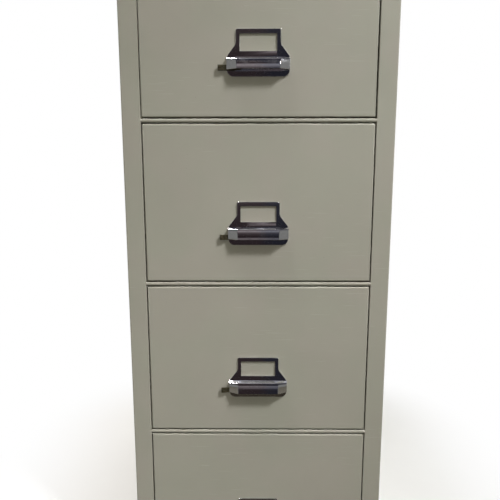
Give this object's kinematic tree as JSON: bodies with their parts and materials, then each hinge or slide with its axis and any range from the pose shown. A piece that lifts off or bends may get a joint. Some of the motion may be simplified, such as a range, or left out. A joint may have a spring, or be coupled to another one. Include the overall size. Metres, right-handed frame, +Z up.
{
  "type": "fireproof filing cabinet",
  "caption": "Vertical fire-insulated filing cabinet with inset drawers on telescopic slides, label-frame pulls, sideways thumb latches and a push lock.",
  "frame": {"origin": "on the floor, under the middle of the case's footprint", "axes": "+Z up, the drawers open towards -Y, +X to the right of someone who faces the drawers"},
  "size_m": [0.528, 0.6552, 1.3484],
  "materials": {
    "paint": "satin",
    "inner_paint": "satin",
    "chrome": "polished",
    "bronze": "satin",
    "steel": "satin",
    "mineral_fill": "matte"
  },
  "bodies": {
    "case": {"case_shell": "paint", "case_back": "paint", "case_screws": "steel", "base_pan": "paint", "case_insulation": "mineral_fill", "bay_liners": "inner_paint", "divider_rails": "paint", "latch_strikes": "steel", "lock_cylinder": "chrome", "lock_bar_guides": "steel", "drawer_1_case_rails": "steel", "drawer_2_case_rails": "steel", "drawer_3_case_rails": "steel", "drawer_4_case_rails": "steel"},
    "lock_plunger": {"lock_plunger": "chrome"},
    "lock_bar": {"lock_bar": "steel"},
    "drawer_1": {"drawer_1_front": "paint", "drawer_1_insulation": "mineral_fill", "drawer_1_inner_panel": "inner_paint", "drawer_1_box": "inner_paint", "drawer_1_drawer_rails": "steel", "drawer_1_handle": "chrome", "drawer_1_latch_spring": "steel", "drawer_1_screws": "steel"},
    "middle_1": {"drawer_1_middle_rails": "steel"},
    "latch_1": {"drawer_1_thumb_latch": "bronze"},
    "follower_1": {"drawer_1_follower": "inner_paint"},
    "drawer_2": {"drawer_2_front": "paint", "drawer_2_insulation": "mineral_fill", "drawer_2_inner_panel": "inner_paint", "drawer_2_box": "inner_paint", "drawer_2_drawer_rails": "steel", "drawer_2_handle": "chrome", "drawer_2_latch_spring": "steel", "drawer_2_screws": "steel"},
    "middle_2": {"drawer_2_middle_rails": "steel"},
    "latch_2": {"drawer_2_thumb_latch": "bronze"},
    "follower_2": {"drawer_2_follower": "inner_paint"},
    "drawer_3": {"drawer_3_front": "paint", "drawer_3_insulation": "mineral_fill", "drawer_3_inner_panel": "inner_paint", "drawer_3_box": "inner_paint", "drawer_3_drawer_rails": "steel", "drawer_3_handle": "chrome", "drawer_3_latch_spring": "steel", "drawer_3_screws": "steel"},
    "middle_3": {"drawer_3_middle_rails": "steel"},
    "latch_3": {"drawer_3_thumb_latch": "bronze"},
    "follower_3": {"drawer_3_follower": "inner_paint"},
    "drawer_4": {"drawer_4_front": "paint", "drawer_4_insulation": "mineral_fill", "drawer_4_inner_panel": "inner_paint", "drawer_4_box": "inner_paint", "drawer_4_drawer_rails": "steel", "drawer_4_handle": "chrome", "drawer_4_latch_spring": "steel", "drawer_4_screws": "steel"},
    "middle_4": {"drawer_4_middle_rails": "steel"},
    "latch_4": {"drawer_4_thumb_latch": "bronze"},
    "follower_4": {"drawer_4_follower": "inner_paint"}
  },
  "joints": [
    {"name": "drawer_1_slide", "type": "slide", "parent": "case", "child": "drawer_1", "axis": [0, -1, 0], "range_m": [0, 0.45]},
    {"name": "middle_1_slide", "type": "slide", "parent": "case", "child": "middle_1", "axis": [0, -1, 0], "range_m": [0, 0.225]},
    {"name": "latch_1_slide", "type": "slide", "parent": "drawer_1", "child": "latch_1", "axis": [1, 0, 0], "range_m": [0, 0.006], "stiffness_N_per_m": 400, "springref_m": -0.004, "deforming": ["drawer_1_latch_spring"]},
    {"name": "follower_1_slide", "type": "slide", "parent": "drawer_1", "child": "follower_1", "axis": [0, -1, 0], "range_m": [0, 0.298]},
    {"name": "drawer_2_slide", "type": "slide", "parent": "case", "child": "drawer_2", "axis": [0, -1, 0], "range_m": [0, 0.45]},
    {"name": "middle_2_slide", "type": "slide", "parent": "case", "child": "middle_2", "axis": [0, -1, 0], "range_m": [0, 0.225]},
    {"name": "latch_2_slide", "type": "slide", "parent": "drawer_2", "child": "latch_2", "axis": [1, 0, 0], "range_m": [0, 0.006], "stiffness_N_per_m": 400, "springref_m": -0.004, "deforming": ["drawer_2_latch_spring"]},
    {"name": "follower_2_slide", "type": "slide", "parent": "drawer_2", "child": "follower_2", "axis": [0, -1, 0], "range_m": [0, 0.298]},
    {"name": "drawer_3_slide", "type": "slide", "parent": "case", "child": "drawer_3", "axis": [0, -1, 0], "range_m": [0, 0.45]},
    {"name": "middle_3_slide", "type": "slide", "parent": "case", "child": "middle_3", "axis": [0, -1, 0], "range_m": [0, 0.225]},
    {"name": "latch_3_slide", "type": "slide", "parent": "drawer_3", "child": "latch_3", "axis": [1, 0, 0], "range_m": [0, 0.006], "stiffness_N_per_m": 400, "springref_m": -0.004, "deforming": ["drawer_3_latch_spring"]},
    {"name": "follower_3_slide", "type": "slide", "parent": "drawer_3", "child": "follower_3", "axis": [0, -1, 0], "range_m": [0, 0.298]},
    {"name": "drawer_4_slide", "type": "slide", "parent": "case", "child": "drawer_4", "axis": [0, -1, 0], "range_m": [0, 0.45]},
    {"name": "middle_4_slide", "type": "slide", "parent": "case", "child": "middle_4", "axis": [0, -1, 0], "range_m": [0, 0.225]},
    {"name": "latch_4_slide", "type": "slide", "parent": "drawer_4", "child": "latch_4", "axis": [1, 0, 0], "range_m": [0, 0.006], "stiffness_N_per_m": 400, "springref_m": -0.004, "deforming": ["drawer_4_latch_spring"]},
    {"name": "follower_4_slide", "type": "slide", "parent": "drawer_4", "child": "follower_4", "axis": [0, -1, 0], "range_m": [0, 0.298]},
    {"name": "lock_plunger_slide", "type": "slide", "parent": "case", "child": "lock_plunger", "axis": [0, 1, 0], "range_m": [0, 0.01]},
    {"name": "lock_bar_slide", "type": "slide", "parent": "case", "child": "lock_bar", "axis": [0, 0, -1], "range_m": [0, 0.01]}
  ],
  "couplings": [
    {"joint": "middle_1_slide", "follows": "drawer_1_slide", "ratio": 0.5},
    {"joint": "middle_2_slide", "follows": "drawer_2_slide", "ratio": 0.5},
    {"joint": "middle_3_slide", "follows": "drawer_3_slide", "ratio": 0.5},
    {"joint": "middle_4_slide", "follows": "drawer_4_slide", "ratio": 0.5},
    {"joint": "lock_bar_slide", "follows": "lock_plunger_slide", "ratio": 1}
  ]
}
